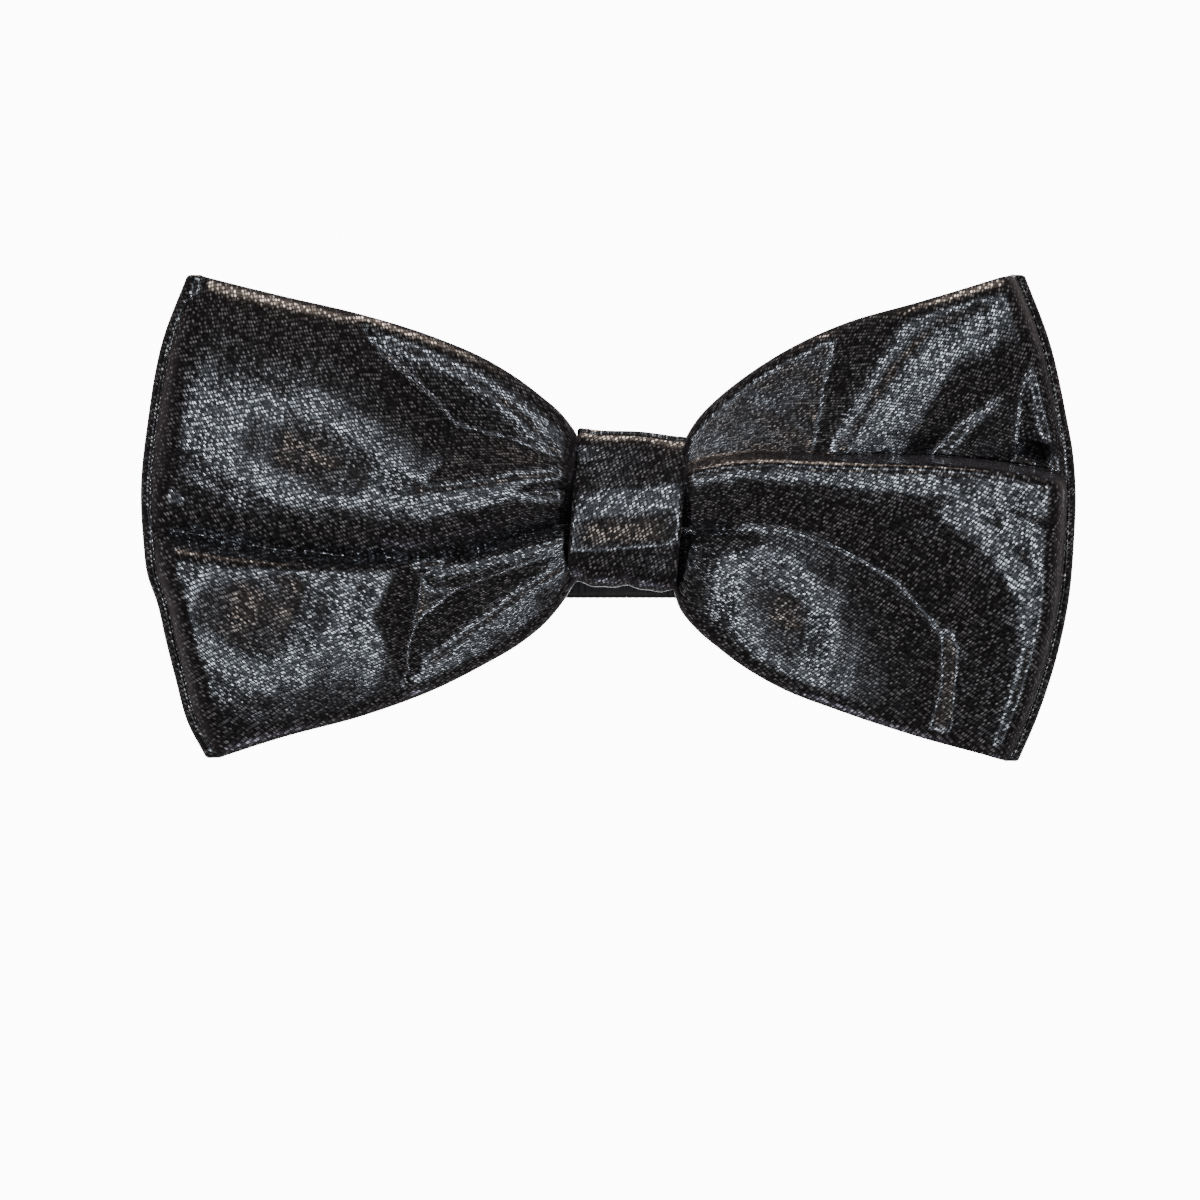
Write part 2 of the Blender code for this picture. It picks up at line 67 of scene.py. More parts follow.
# Wings: (x, z) outlines, near the CAD's: top and bottom edges from the waist to a corner, with more points
# by the knot, ends from the bottom corner to the top one, and the sharp folds across the fronts
LEFT_TOP = ((-0.3, 7.2), (-2.0, 7.3), (-4.6, 7.5), (-6.0, 8.2), (-7.3, 10.3), (-8.7, 12.1), (-11.1, 14.2),
            (-13.7, 16.2), (-18.8, 19.3), (-23.9, 21.5), (-34.2, 24.8), (-44.4, 27.1), (-56.6, 29.9))
LEFT_BOTTOM = ((-0.3, -6.9), (-2.0, -6.9), (-5.2, -7.1), (-7.0, -8.7), (-8.6, -11.2), (-11.1, -14.1),
               (-13.7, -16.2), (-18.8, -19.2), (-23.9, -21.8), (-34.2, -25.6), (-44.4, -28.2), (-54.2, -31.0))
LEFT_END = ((-54.2, -31.0), (-56.5, -26.6), (-57.9, -21.5), (-59.2, -16.4), (-60.3, -11.6),
            (-61.6, -7.8), (-62.1, -3.6), (-62.4, 2.6), (-61.5, 11.8), (-59.6, 22.0), (-56.6, 29.9))
RIGHT_TOP = ((0.3, 7.2), (2.0, 7.2), (5.6, 7.1), (7.3, 7.8), (8.2, 9.7), (9.3, 11.4), (11.9, 14.1),
             (14.5, 16.2), (19.6, 19.6), (27.3, 23.3), (37.5, 26.1), (51.2, 29.9))
RIGHT_BOTTOM = ((0.3, -6.9), (2.0, -7.0), (4.9, -7.6), (6.2, -9.4), (7.2, -12.1), (9.3, -14.7), (11.9, -16.9),
                (14.5, -18.9), (19.6, -21.9), (27.3, -24.9), (37.5, -28.2), (50.4, -31.4))
RIGHT_END = ((50.4, -31.4), (52.5, -26.6), (54.3, -21.5), (55.7, -16.4), (56.7, -11.3), (57.4, -3.6),
             (57.6, 2.8), (57.2, 8.0), (56.5, 11.8), (54.2, 22.0), (51.2, 29.9))
LEFT_CREASE = ((-62.0, -4.0), (-57.0, -4.6), (-50.9, -5.4), (-42.4, -6.1), (-34.0, -6.1), (-25.5, -5.7),
               (-19.1, -4.9), (-13.6, -3.5), (-6.0, -1.4))
RIGHT_CREASE = ((6.0, 3.9), (12.7, 5.4), (16.9, 5.7), (22.0, 5.6), (27.9, 5.3), (34.7, 5.2), (41.5, 4.9),
                (46.6, 4.4), (50.8, 3.8), (57.0, 2.4))
WING_WIDTH = 61.0  # of the flattened tube

# Wings' depths and layers
KNOT_LOW, KNOT_HIGH = cad_box("knot_band")
WAIST_Y = (KNOT_LOW[1] + KNOT_HIGH[1]) / 2 + 0.4
WAIST_SPLIT = 1.6  # from WAIST_Y to each layer at the waist
FOLD_Y = -10.4
FOLD_RADIUS = 1.2
TUBE_HALF = 0.55  # half the flattened tube's thickness
CLOTH = 0.22  # thickness
INTERLINING = 0.25  # thickness
KNOT_SHARE = 0.11  # share of a wing inside the knot

# Wings' relief
RING_SLOPE = 0.26  # the slope that mirrors the ring of lights to the camera
STEEP_SLOPE = 0.58  # a slope that mirrors no light
CREASE_SHARPNESS = 6.0  # per mm, of the creases between hills
RELIEF_FLOOR = -0.8  # the deepest the front may go
RIPPLE = 0.045  # height of the small dents
EDGE_ROLL = 1.1  # the front's top and bottom edges curve back over this width
END_FADE = 0.06  # share of a wing's length over which the relief drops to nothing at its end
BACK_SEAM = 0.22  # depth of the seam along the middle of the back

# Wings' mesh: rows along a wing, over its fold and back, and heights across it
HEIGHT_STEPS = 104
LEFT_CREASE_ROW, RIGHT_CREASE_ROW = 42, 64  # the heights that follow the creases
EDGE_STEPS = 5  # round each edge of a flattened tube
FRONT_STATIONS = np.concatenate([np.linspace(0, KNOT_SHARE, 10)[:-1], np.linspace(KNOT_SHARE, 1, 130)])
FOLD_STATIONS = np.linspace(1, 2, 12)[1:-1]
BACK_STATIONS = np.linspace(2, 3, 40)

# Knot
KNOT_CENTRE = np.array([0.0, -12.15, 0.3])
KNOT_TILT = math.radians(4.5)
KNOT_HALF = (5.1, 9.55)  # half its size in y and z
KNOT_POWER = 4.2  # of its rounded oblong section
KNOT_WIDTH = 14.1
KNOT_ROWS, KNOT_COLUMNS = 190, 41
BAND_HALF = 0.42  # half the flattened band's thickness
PAD_GAP = 0.2  # between the band and the pad
PAD_BACK = -2.15  # y of the pad's flat back in the knot's frame
# The slope of the knot's front at heights z: steep below the crest, flat on it, a bright band, steep above
KNOT_SLOPES = ((-9.6, 0.0), (-7.6, -0.2), (-5.0, -0.45), (-4.8, -0.05), (-1.6, 0.05), (-0.4, 0.26),
               (2.3, 0.27), (3.0, 0.42), (6.0, 0.29), (7.0, 0.17), (8.2, 0.0), (9.6, 0.0))

# Threads
THREAD_RADIUS = 0.2
PLY_PITCH = 1.1  # of the twist of its two plies
PLY_RADIUS = 0.56  # of the thread's radius
PLY_OFFSET = 0.46  # of the thread's radius
PLY_SIDES = 7
GATHER_TURNS = 3
GATHER_PITCH = 0.9
GATHER_OVAL = (2.45, 8.0)  # half its size in y and z
TACK_TURNS = 3

# Ribbon
RIBBON_LOW, RIBBON_HIGH = cad_box("backing_ribbon")
RIBBON_LAYER = 0.3  # from the ribbon's middle to each of its two layers
RIBBON_THICK = 0.26
RIBBON_ROWS = 25
RIB_PITCH = 0.85
RIB_HEIGHT = 0.045
RIB_SCALLOP = 0.02  # of the ribbon's long edges

# Clip
CLIP_NODES = ("clip_base", "left_hinge_pin", "right_hinge_pin", "left_jaw", "right_jaw")
CLIP_BEVEL = 0.1
HINGE_X = 6.5
HINGE_Y = -1.65
SPRING_RADIUS = 0.75
SPRING_WIRE = 0.12
SPRING_TURNS = 5
SPRING_REACH = 1.3  # half the coil's length
SPRING_LEG = 4.2

# The satin's lattice of crossings and how far their glints are tilted
ROW_PITCH = 0.56
ROW_LEAN = 0.34
COLUMN_PITCH = 0.42
COLUMN_LEAN = 0.75
GLINT_TILT = 0.06

# Colours
SATIN_DARK = (0.012, 0.012, 0.013, 1)
SATIN_MID = (0.065, 0.065, 0.068, 1)
SATIN_GLINT = (0.85, 0.88, 0.92, 1)
SATIN_SHEEN = (1.0, 0.86, 0.92, 1)
FELT_DARK = (0.62, 0.61, 0.57, 1)
FELT_LIGHT = (0.86, 0.85, 0.81, 1)
GROSGRAIN_DARK = (0.006, 0.006, 0.007, 1)
GROSGRAIN_LIGHT = (0.030, 0.030, 0.033, 1)
THREAD_DARK = (0.010, 0.010, 0.011, 1)
THREAD_LIGHT = (0.035, 0.035, 0.038, 1)
NICKEL_DARK = (0.58, 0.56, 0.52, 1)
NICKEL_LIGHT = (0.72, 0.70, 0.66, 1)
STEEL_DARK = (0.34, 0.33, 0.32, 1)
STEEL_LIGHT = (0.50, 0.49, 0.47, 1)

# Stage
CAMERA_AIM = Vector((-3.46, -12.0, -11.26)) * MM
VIEW_WIDTH = 153.6  # of the frame at CAMERA_AIM
LENS = 150.0
SENSOR = 36.0
FLOOR_SIZE = 3.0  # m
FLOOR_Y = 12
FLOOR_GLOW = 12.0  # of the floor and of the world, where the camera sees them
AMBIENT = 0.17  # of the world as a light
AMBIENT_COLOUR = (1.0, 0.90, 0.88, 1)
LIGHT_TARGET = Vector((0, -12 * MM, 0))
RING_TILT, REAR_TILT = 30, 18  # degrees from the Y axis to each light of the two rings about it
# Distance from LIGHT_TARGET and diameter in m, power in W, colour
RING_LIGHT = (1.8, 0.225, 0.9, (0.86, 0.93, 1.0))
WARM_LIGHT = (2.4, 0.36, 0.80, (1.0, 0.80, 0.66))
TOP_LIGHT = (1.5, 0.9, 6.0, (1.0, 0.80, 0.66))
LOW_LIGHT = (1.5, 0.7, 1.0, (0.86, 0.80, 1.0))
REAR_LIGHT = (1.8, 0.45, 1.2, (0.9, 0.95, 1.0))
REAR_WARM_LIGHT = (2.4, 0.4, 0.5, (1.0, 0.8, 0.65))


# Curves

def smooth(t):
    t = np.clip(t, 0.0, 1.0)
    return t * t * (3 - 2 * t)


def curve_through(points, count=400):
    """Even samples of a smooth curve through the points."""
    points = np.array(points, float)
    at = np.concatenate([[0], np.cumsum(np.linalg.norm(np.diff(points, axis=0), axis=1))])
    tangents = np.gradient(points, at, axis=0)
    fine = []
    for i in range(len(points) - 1):
        span = at[i + 1] - at[i]
        t = np.linspace(0, 1, 60)[:, None]
        fine.append((2 * t**3 - 3 * t**2 + 1) * points[i] + (t**3 - 2 * t**2 + t) * span * tangents[i]
                    + (3 * t**2 - 2 * t**3) * points[i + 1] + (t**3 - t**2) * span * tangents[i + 1])
    fine = np.concatenate(fine)
    length = np.concatenate([[0], np.cumsum(np.linalg.norm(np.diff(fine, axis=0), axis=1))])
    even = np.linspace(0, length[-1], count)
    return np.stack([np.interp(even, length, fine[:, k]) for k in range(points.shape[1])], axis=1)


def along(curve, t):
    at = np.linspace(0, 1, len(curve))
    return np.stack([np.interp(t, at, curve[:, k]) for k in range(curve.shape[1])], axis=-1)


def path_length(path):
    return float(np.linalg.norm(np.diff(path, axis=0), axis=1).sum())


def bent(values, power):
    """The values' own signs with their sizes raised to a power, for rounded oblongs."""
    return np.sign(values) * np.abs(values) ** power


def unit(a):
    return a / np.maximum(np.linalg.norm(a, axis=-1, keepdims=True), 1e-12)


# Relief of the wings' front: everything here works on arrays of x and z and gives a height in mm

def axis_coordinates(x, z, centre, turn):
    """Coordinates along and across an axis that is turned anticlockwise by turn degrees."""
    a = math.radians(turn)
    dx, dz = x - centre[0], z - centre[1]
    return dx * math.cos(a) + dz * math.sin(a), -dx * math.sin(a) + dz * math.cos(a)


def hill(x, z, centre, radii, height):
    """A hill with a broad top and steep sides that level out at its foot."""
    r = np.hypot((x - centre[0]) / radii[0], (z - centre[1]) / radii[1])
    return height * np.exp(-(r**3))


def fall(away, near, far):
    """Drop beside a crest: the slope grows to RING_SLOPE by about near, and past far to STEEP_SLOPE."""
    soft = near / 2
    past = np.maximum(away - far, 0)
    extra = STEEP_SLOPE - RING_SLOPE
    return RING_SLOPE * (np.sqrt(away**2 + soft**2) - soft) + extra * (np.sqrt(past**2 + 1) - 1)


def lobe(x, z, centre, ring, height, turn=0.0, taper=0.0, steep=6.0, shoulder=0.0):
    """A rounded hill that slopes by RING_SLOPE all round an ellipse of half axes ring, and more outside it.

    taper narrows it towards its far end along the axis, and that end keeps RING_SLOPE for the length
    of the shoulder first. A greater steep lets the slope outside the ring grow further.
    """
    p, q = axis_coordinates(x, z, centre, turn)
    width = ring[1] * np.clip(1 - taper * p / ring[0], 0.35, 1.0)
    level = np.clip(p - ring[0], 0, shoulder) if shoulder else 0.0
    rest = p - level
    drop = 0.5 * RING_SLOPE * (rest * rest / ring[0] + q * q / width)
    return height - RING_SLOPE * level - steep * (np.sqrt(1 + 2 * drop / steep) - 1)


def plane(x, z, point, direction, slope, height):
    """A flat slope that falls in the direction given in degrees, anticlockwise from +x."""
    a = math.radians(direction)
    return height - slope * ((x - point[0]) * math.cos(a) + (z - point[1]) * math.sin(a))


def path_distance(x, z, path):
    """Distance to the left of a smooth path, and the share of its length at the nearest point."""
    line = curve_through(path, 160)
    flat = np.stack([x.ravel(), z.ravel()], axis=1)
    gap = flat[:, None, :] - line[None, :, :]
    nearest = (gap**2).sum(2).argmin(1)
    tangent = np.gradient(line, axis=0)
    tangent /= np.linalg.norm(tangent, axis=1)[:, None]
    left = np.stack([-tangent[:, 1], tangent[:, 0]], axis=1)
    away = np.linalg.norm(gap[np.arange(len(flat)), nearest], axis=1)
    side = np.sign((gap[np.arange(len(flat)), nearest] * left[nearest]).sum(1))
    return (away * side).reshape(x.shape), (nearest / (len(line) - 1)).reshape(x.shape)


def furrow(x, z, path, depth, left, right, ends):
    """A furrow along a path, with its own width on each side.

    Depths and widths are pairs, for the start and the end of the path. It fades in and out over the
    shares of the path in ends.
    """
    away, t = path_distance(x, z, path)
    width = np.where(away > 0, left[0] + (left[1] - left[0]) * t, right[0] + (right[1] - right[0]) * t)
    low = -depth[0] - (depth[1] - depth[0]) * t
    fade = smooth(t / max(ends[0], 1e-6)) * smooth((1 - t) / max(ends[1], 1e-6))
    return low * fade * np.exp(-((np.abs(away) / width) ** 1.5))


def crest(x, z, path, height, left, right):
    """A crest along a path, with heights evenly spaced along it.

    left and right are two pairs each: the near and far distances of fall() at the path's start and end.
    """
    away, t = path_distance(x, z, path)

    def between(k):
        return np.where(away > 0, left[0][k] + (left[1][k] - left[0][k]) * t,
                        right[0][k] + (right[1][k] - right[0][k]) * t)

    return np.interp(t, np.linspace(0, 1, len(height)), height) - fall(np.abs(away), between(0), between(1))


def meet(heights, sharpness=CREASE_SHARPNESS):
    """The highest of several hills, their creases rounded over about 1/sharpness mm."""
    stack = np.stack(heights)
    top = stack.max(0)
    return top + np.log(np.exp(sharpness * (stack - top)).sum(0)) / sharpness


def steeper(past, slope):
    """An extra drop beyond a line: past is the distance beyond it, and the drop grows to the slope."""
    return slope * (np.hypot(np.maximum(past, 0), 1.0) - 1.0)


def ripple(x, z):
    """Small dents all over the cloth."""
    dents = np.sin(1.15 * x + 0.5 * z) * np.sin(0.95 * z - 0.3 * x + 1.0)
    dents += 0.7 * np.sin(0.62 * x - 0.8 * z + 2.0) * np.sin(0.55 * z + 0.45 * x)
    return RIPPLE * (dents + 1.3 * np.sin(0.31 * x + 0.7 * np.sin(0.4 * z)) * np.sin(0.37 * z + 0.5))


SHARP = ((0.3, 0.3), (0.3, 0.3))  # a crest's side that is steep from its top on


def left_relief(x, z):
    # Above the crease: a long ring with its far end towards the knot, steeper by the wing's end
    upper = lobe(x, z, (-42.6, 8.0), (12.8, 5.7), 6.8, -20, 0.35, 14.0, 5.0)
    upper -= steeper(-56.5 - x, 0.3)
    # Below it: a ring and a bright patch to its right, both held below the crease
    lower = lobe(x, z, (-50.0, -13.2), (8.2, 6.8), 6.2, -24, 0.0, 14.0)
    patch = lobe(x, z, (-43.5, -12.5), (3.5, 8.5), 5.4, -8, 0.0, 14.0, 8.5)
    patch -= steeper(x + 33.0 - 0.5 * np.abs(z + 13.5), 0.4)
    over = np.maximum(path_distance(x, z, LEFT_CREASE)[0] + 0.2, 0)
    lower -= 0.9 * over
    patch -= 0.9 * over
    # Folds that run into the knot: above and below the crease, then along the top and bottom edges
    tail = crest(x, z, ((-27.0, 2.6), (-20.0, 3.2), (-14.0, 4.3), (-5.0, 4.8)), (4.2, 4.6, 4.4),
                 SHARP, ((0.3, 2.8), (0.3, 1.8)))
    lip = crest(x, z, ((-24.0, -8.0), (-17.0, -6.0), (-11.0, -4.4), (-5.0, -2.8)), (0.2, 1.8, 3.2),
                SHARP, ((0.3, 0.3), (0.3, 1.0)))
    top_edge = crest(x, z, ((-30.0, 21.5), (-21.0, 17.6), (-13.5, 12.2), (-8.5, 7.4), (-5.0, 4.0)),
                     (1.8, 3.4, 3.8), ((1.0, 6.5), (1.0, 6.0)), SHARP)
    low_edge = crest(x, z, ((-25.0, -19.0), (-18.0, -14.0), (-12.0, -9.6), (-5.0, -5.6)), (1.8, 3.2),
                     SHARP, ((0.6, 3.6), (0.6, 3.0)))
    # The cloth between them
    base = np.full(x.shape, -0.6)
    shelf = np.minimum(0.5 * (z + 5.5), 3.4 - 0.22 * np.maximum(z - 2.0, 0))
    shelf = shelf - 0.4 * np.maximum(x + 50.0, 0)
    h = meet((upper, lower, patch, lip, tail, top_edge, low_edge, shelf, base))
    # The crease, and a small one above it by the knot
    h += furrow(x, z, LEFT_CREASE, (1.1, 1.8), (3.2, 2.0), (0.8, 0.7), (0.05, 0.0))
    h += furrow(x, z, ((-15.0, 2.2), (-10.0, 2.9), (-6.0, 3.0)), (0.4, 1.0), (0.5, 0.5), (1.2, 1.2),
                (0.5, 0.0))
    return h + ripple(x, z)


def right_relief(x, z):
    # Below the fold: the fold's own lip, the cloth under it, the rim by the wing's end and a small ring
    lip = crest(x, z, RIGHT_CREASE, (4.4, 6.0, 7.8, 8.0, 6.8), ((0.1, 0.1), (0.1, 0.1)),
                ((0.3, 0.3), (0.5, 3.8)))
    face = plane(x, z, (45.0, -13.0), -120, 0.06, -0.5)
    rim = crest(x, z, ((48.5, -36.0), (51.5, -26.0), (53.8, -16.0), (52.4, -9.0), (48.8, -4.0), (43.0, 1.2)),
                (2.4, 4.0, 5.4, 7.2), ((0.8, 3.0), (0.8, 3.0)), ((3.0, 20.0), (4.0, 20.0)))
    small = lobe(x, z, (21.4, -15.2), (7.8, 4.8), 5.2, -60, 0.0, 8.0)
    low = meet((meet((lip, face), 1.5), rim, small))
    # Above it: a band that climbs to the top edge, the rim by the end, the brow by the knot, the hollow
    crown = crest(x, z, ((25.0, 4.0), (28.0, 9.0), (31.2, 14.0), (34.2, 18.5), (39.0, 23.5), (46.0, 26.2),
                         (56.0, 27.5)), (3.4, 5.4, 6.8, 6.6, 5.0), ((0.6, 0.6), (1.2, 3.0)),
                  ((1.5, 6.5), (1.5, 4.5)))
    upper_rim = crest(x, z, ((57.5, 3.0), (56.5, 11.0), (53.5, 20.0), (50.0, 27.0)), (2.8, 4.6),
                      ((0.3, 0.3), (0.5, 1.2)), ((1.0, 1.0), (1.0, 1.0)))
    brow = plane(x, z, (21.0, 15.0), 132, 0.22, 2.7)
    shelf = -meet((-brow, np.full(x.shape, -2.8)), 2.0)
    hollow = np.minimum(plane(x, z, (43.0, 10.0), -45, 0.42, 2.2), 2.2)
    high = meet((crown, upper_rim, shelf - 0.25 * np.maximum(x - 30.0, 0), hollow))
    blend = smooth(path_distance(x, z, RIGHT_CREASE)[0] / 2.0)
    h = low * (1 - blend) + high * blend
    # The pocket at the fold's end, and a small crease below it by the knot
    h += hill(x, z, (53.2, 6.2), (3.4, 2.4), -1.5)
    h += furrow(x, z, ((6.0, -1.7), (12.0, -2.2), (19.0, -3.2)), (1.4, 0.6), (0.8, 0.8), (1.2, 1.2),
                (0.0, 0.6))
    return h + ripple(x, z)


class Wing:
    """One folded loop. Its points run over s (0-1 front, 1-2 fold, 2-3 back) and v (bottom to top).

    u is the share of the way from the waist to the end, in either layer.
    """

    def __init__(self, side, top, bottom, end, relief, crease, crease_row):
        self.side = side
        self.crease = curve_through(crease, 300)
        self.crease_row = crease_row
        self.outward = 1.0 if side == "right" else -1.0
        self.relief = relief
        self.top, self.bottom, self.end = (curve_through(c) for c in (top, bottom, end))
        inset = FOLD_RADIUS + TUBE_HALF
        for edge in (self.top, self.bottom):
            edge[:, 0] -= self.outward * inset * np.linspace(0, 1, len(edge)) ** 6
        self.end[:, 0] -= self.outward * inset

    def outline(self, u, v):
        top, bottom, end = along(self.top, u), along(self.bottom, u), along(self.end, v)
        u, v = u[..., None], v[..., None]
        waist = self.bottom[0] * (1 - v) + self.top[0] * v
        corners = waist * (1 - u) + (self.bottom[-1] * (1 - v) + self.top[-1] * v) * u
        return bottom * (1 - v) + top * v + waist * (1 - u) + end * u - corners

    def depth(self, u, v, x, z, back):
        """y of the front layer, or of the back one."""
        reach = (u - KNOT_SHARE) / (1 - KNOT_SHARE)
        t = np.clip(reach, 0, 1)
        sign = 1.0 if back else -1.0
        edge = 1 - np.abs(2 * v - 1) ** 2.5
        waist = WAIST_Y + sign * WAIST_SPLIT * (0.55 + 0.45 * edge)
        y = waist * (1 - smooth(t)) + (FOLD_Y + sign * FOLD_RADIUS) * smooth(t)
        if back:
            gathers = np.sin(23.0 * v + 2.0 * t + self.outward) * np.exp(-3.5 * t)
            gathers = gathers * (0.45 + 0.2 * np.sin(9.0 * v))
            seam = BACK_SEAM * np.exp(-(((v - 0.5) / 0.008) ** 2))
            puff = np.sin(math.pi * t**0.72) ** 0.8 * 0.9 * edge
            return y + puff + smooth(t / 0.08) * smooth((1 - t) / 0.08) * (gathers * edge - seam)
        inside = smooth((reach + 0.03) / 0.07) * (1 - np.clip(1 - (1 - t) / END_FADE, 0, 1) ** 2.6)
        span = along(self.top, u)[..., 1] - along(self.bottom, u)[..., 1]
        short = np.clip(1 - np.minimum(v, 1 - v) * span / EDGE_ROLL, 0, 1)
        roll = 0.8 * EDGE_ROLL * (1 - np.sqrt(1 - short**2))
        return y - inside * (np.maximum(self.relief(x, z), RELIEF_FLOOR) - roll)

    def follow_crease(self, u, v):
        """Heights v moved so that the row crease_row lies along the crease at every u."""
        line = self.crease[np.argsort(self.crease[:, 0])]
        rows = np.linspace(0.2, 0.8, 61)
        stations = np.linspace(0, 1, 60)
        uu, vv = np.meshgrid(stations, rows, indexing="ij")
        xz = self.outline(uu, vv)
        above = xz[..., 1] - np.interp(xz[..., 0], line[:, 0], line[:, 1])
        height = np.array([np.interp(0, a, rows) for a in above])
        at = np.interp(u, stations, height)
        row = self.crease_row
        return np.where(v < row, v * at / row, 1 - (1 - v) * (1 - at) / (1 - row))

    def middle(self, s, v):
        """(n, m, 3) points of the middle surface for station values s and heights v."""
        s, v = np.meshgrid(s, v, indexing="ij")
        u = np.where(s <= 1, s, np.where(s >= 2, 3 - s, 1.0))
        v = self.follow_crease(u, v)
        xz = self.outline(u, v)
        x, z = xz[..., 0], xz[..., 1]
        front, back = self.depth(u, v, x, z, False), self.depth(u, v, x, z, True)
        angle = math.pi * np.clip(s - 1, 0, 1)
        folding = (s > 1) & (s < 2)
        y = np.where(s <= 1, front, back)
        y = np.where(folding, FOLD_Y - FOLD_RADIUS * np.cos(angle), y)
        x = np.where(folding, x + self.outward * FOLD_RADIUS * np.sin(angle), x)
        return np.stack([x, y, z], axis=-1)


def heights():
    """v values, denser half way up where the sharp folds run."""
    fine = np.linspace(0, 1, 2000)
    density = 1 + 2.2 * np.exp(-((fine - 0.52) / 0.13) ** 2)
    total = np.concatenate([[0], np.cumsum((density[1:] + density[:-1]) / 2)])
    return np.interp(np.linspace(0, total[-1], HEIGHT_STEPS + 1), total, fine)


HEIGHTS = heights()


# Meshes

def grid_mesh(name, points, cloth, wrap, flip):
    """A mesh of a grid of points in mm, its UVs the cloth's own mm, its second axis closed if wrap."""
    rows, columns = points.shape[:2]
    mesh = bpy.data.meshes.new(name)
    faces = []
    for i in range(rows - 1):
        for j in range(columns if wrap else columns - 1):
            k = (j + 1) % columns
            quad = (i * columns + j, i * columns + k, (i + 1) * columns + k, (i + 1) * columns + j)
            faces.append(quad[::-1] if flip else quad)
    mesh.from_pydata((points.reshape(-1, 3) * MM).tolist(), [], faces)
    layer = mesh.uv_layers.new(name="cloth")
    flat = cloth.reshape(-1, 2)
    corners = np.array([v for f in faces for v in f])
    values = flat[corners]
    if wrap:  # the last column's quads end at the seam, not back at the first column
        seam = (corners % columns == 0).reshape(-1, 4)
        last = np.array([(i % columns) == columns - 1 for i in range(len(faces))])
        period = cloth[:, -1, 1] + (cloth[:, 1, 1] - cloth[:, 0, 1])
        rows_of = corners // columns
        wrapped = (seam & last[:, None]).ravel()
        values[wrapped, 1] = period[rows_of[wrapped]]
    layer.data.foreach_set("uv", (values * MM).astype(np.float32).ravel())
    mesh.shade_smooth()
    obj = bpy.data.objects.new(name, mesh)
    bpy.context.scene.collection.objects.link(obj)
    return obj


def plain_mesh(name, points, faces, surface):
    """A smooth-shaded closed mesh of points in mm, its faces turned outwards."""
    mesh = bpy.data.meshes.new(name)
    mesh.from_pydata((np.asarray(points) * MM).tolist(), [], faces)
    work = bmesh.new()
    work.from_mesh(mesh)
    bmesh.ops.recalc_face_normals(work, faces=work.faces)
    work.to_mesh(mesh)
    work.free()
    mesh.shade_smooth()
    mesh.materials.append(surface)
    obj = bpy.data.objects.new(name, mesh)
    bpy.context.scene.collection.objects.link(obj)
    return obj


def frames(path):
    """Two unit vectors square to a path at each of its points, which don't twist about it."""
    tangent = unit(np.gradient(path, axis=0))
    first = np.zeros_like(path)
    guess = np.array([0.3, 0.5, 0.8])
    for i, t in enumerate(tangent):
        guess = unit(guess - t * guess.dot(t))
        first[i] = guess
    return first, np.cross(tangent, first)


def tube(path, radius, sides):
    """Points and faces of a capped round tube."""
    a, b = frames(path)
    turn = np.linspace(0, TAU, sides, endpoint=False)[:, None]
    ring = np.cos(turn) * a[:, None] + np.sin(turn) * b[:, None]
    faces = []
    for i in range(len(path) - 1):
        for j in range(sides):
            k = (j + 1) % sides
            faces.append((i * sides + j, i * sides + k, (i + 1) * sides + k, (i + 1) * sides + j))
    faces.append(tuple(range(sides)))
    faces.append(tuple(range((len(path) - 1) * sides, len(path) * sides)))
    return (path[:, None] + radius * ring).reshape(-1, 3), faces


def twisted(path, radius, pitch):
    """Points and faces of two plies twisted round a path."""
    length = path_length(path)
    path = curve_through(path, int(length / pitch * 8))
    a, b = frames(path)
    points, faces = [], []
    for ply in (0.0, math.pi):
        turn = (TAU * np.linspace(0, length / pitch, len(path)) + ply)[:, None]
        line = path + PLY_OFFSET * radius * (np.cos(turn) * a + np.sin(turn) * b)
        ply_points, ply_faces = tube(line, PLY_RADIUS * radius, PLY_SIDES)
        faces += [tuple(v + PLY_SIDES * len(path) * len(points) for v in face) for face in ply_faces]
        points.append(ply_points)
    return np.concatenate(points), faces


def solidify(obj, thickness, offset):
    wall = obj.modifiers.new("cloth", "SOLIDIFY")
    wall.thickness = thickness * MM
    wall.offset = offset


def soften_edges(obj, width):
    bevel = obj.modifiers.new("soft edges", "BEVEL")
    bevel.width = width * MM
    bevel.segments = 2
    bevel.limit_method = "ANGLE"
    bevel.angle_limit = math.radians(40)


def flat_tube(name, middle, half, side, width, surface, shares=None):
    """A flattened cloth tube round a grid of middle points, rows along it and columns across it."""
    ds, dv = np.gradient(middle, axis=0), np.gradient(middle, axis=1)
    normal = side * unit(np.cross(dv, ds))
    edge = unit(dv)
    arcs = np.linspace(0, math.pi, EDGE_STEPS + 2)[1:-1]

    def rounded(row, sign):
        turns = [math.cos(a) * normal[:, row] + math.sin(a) * edge[:, row] for a in arcs]
        return [middle[:, row] + sign * half * turn for turn in turns]

    points = np.concatenate([middle + half * normal, np.stack(rounded(-1, 1), 1),
                             (middle - half * normal)[:, ::-1], np.stack(rounded(0, -1), 1)], axis=1)
    reach = np.linalg.norm(np.diff(middle[:, middle.shape[1] // 2], axis=0), axis=1)
    reach = np.concatenate([[0], np.cumsum(reach)])
    shares = np.linspace(0, 1, middle.shape[1]) if shares is None else shares
    flat = width * shares
    turn = np.linspace(0, math.pi * half, EDGE_STEPS + 2)[1:-1]
    end = width + math.pi * half
    across = np.concatenate([flat, width + turn, end + flat, end + width + turn])
    cloth = np.stack(np.meshgrid(reach, across, indexing="ij"), axis=-1)
    obj = grid_mesh(name, points, cloth, True, side < 0)
    solidify(obj, CLOTH, -1)
    obj.data.materials.append(surface)
    return obj


# Pieces

def finish_piece(obj, slot, body, *nodes):
    if nodes:
        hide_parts(*nodes)
    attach(obj, body)
    return obj


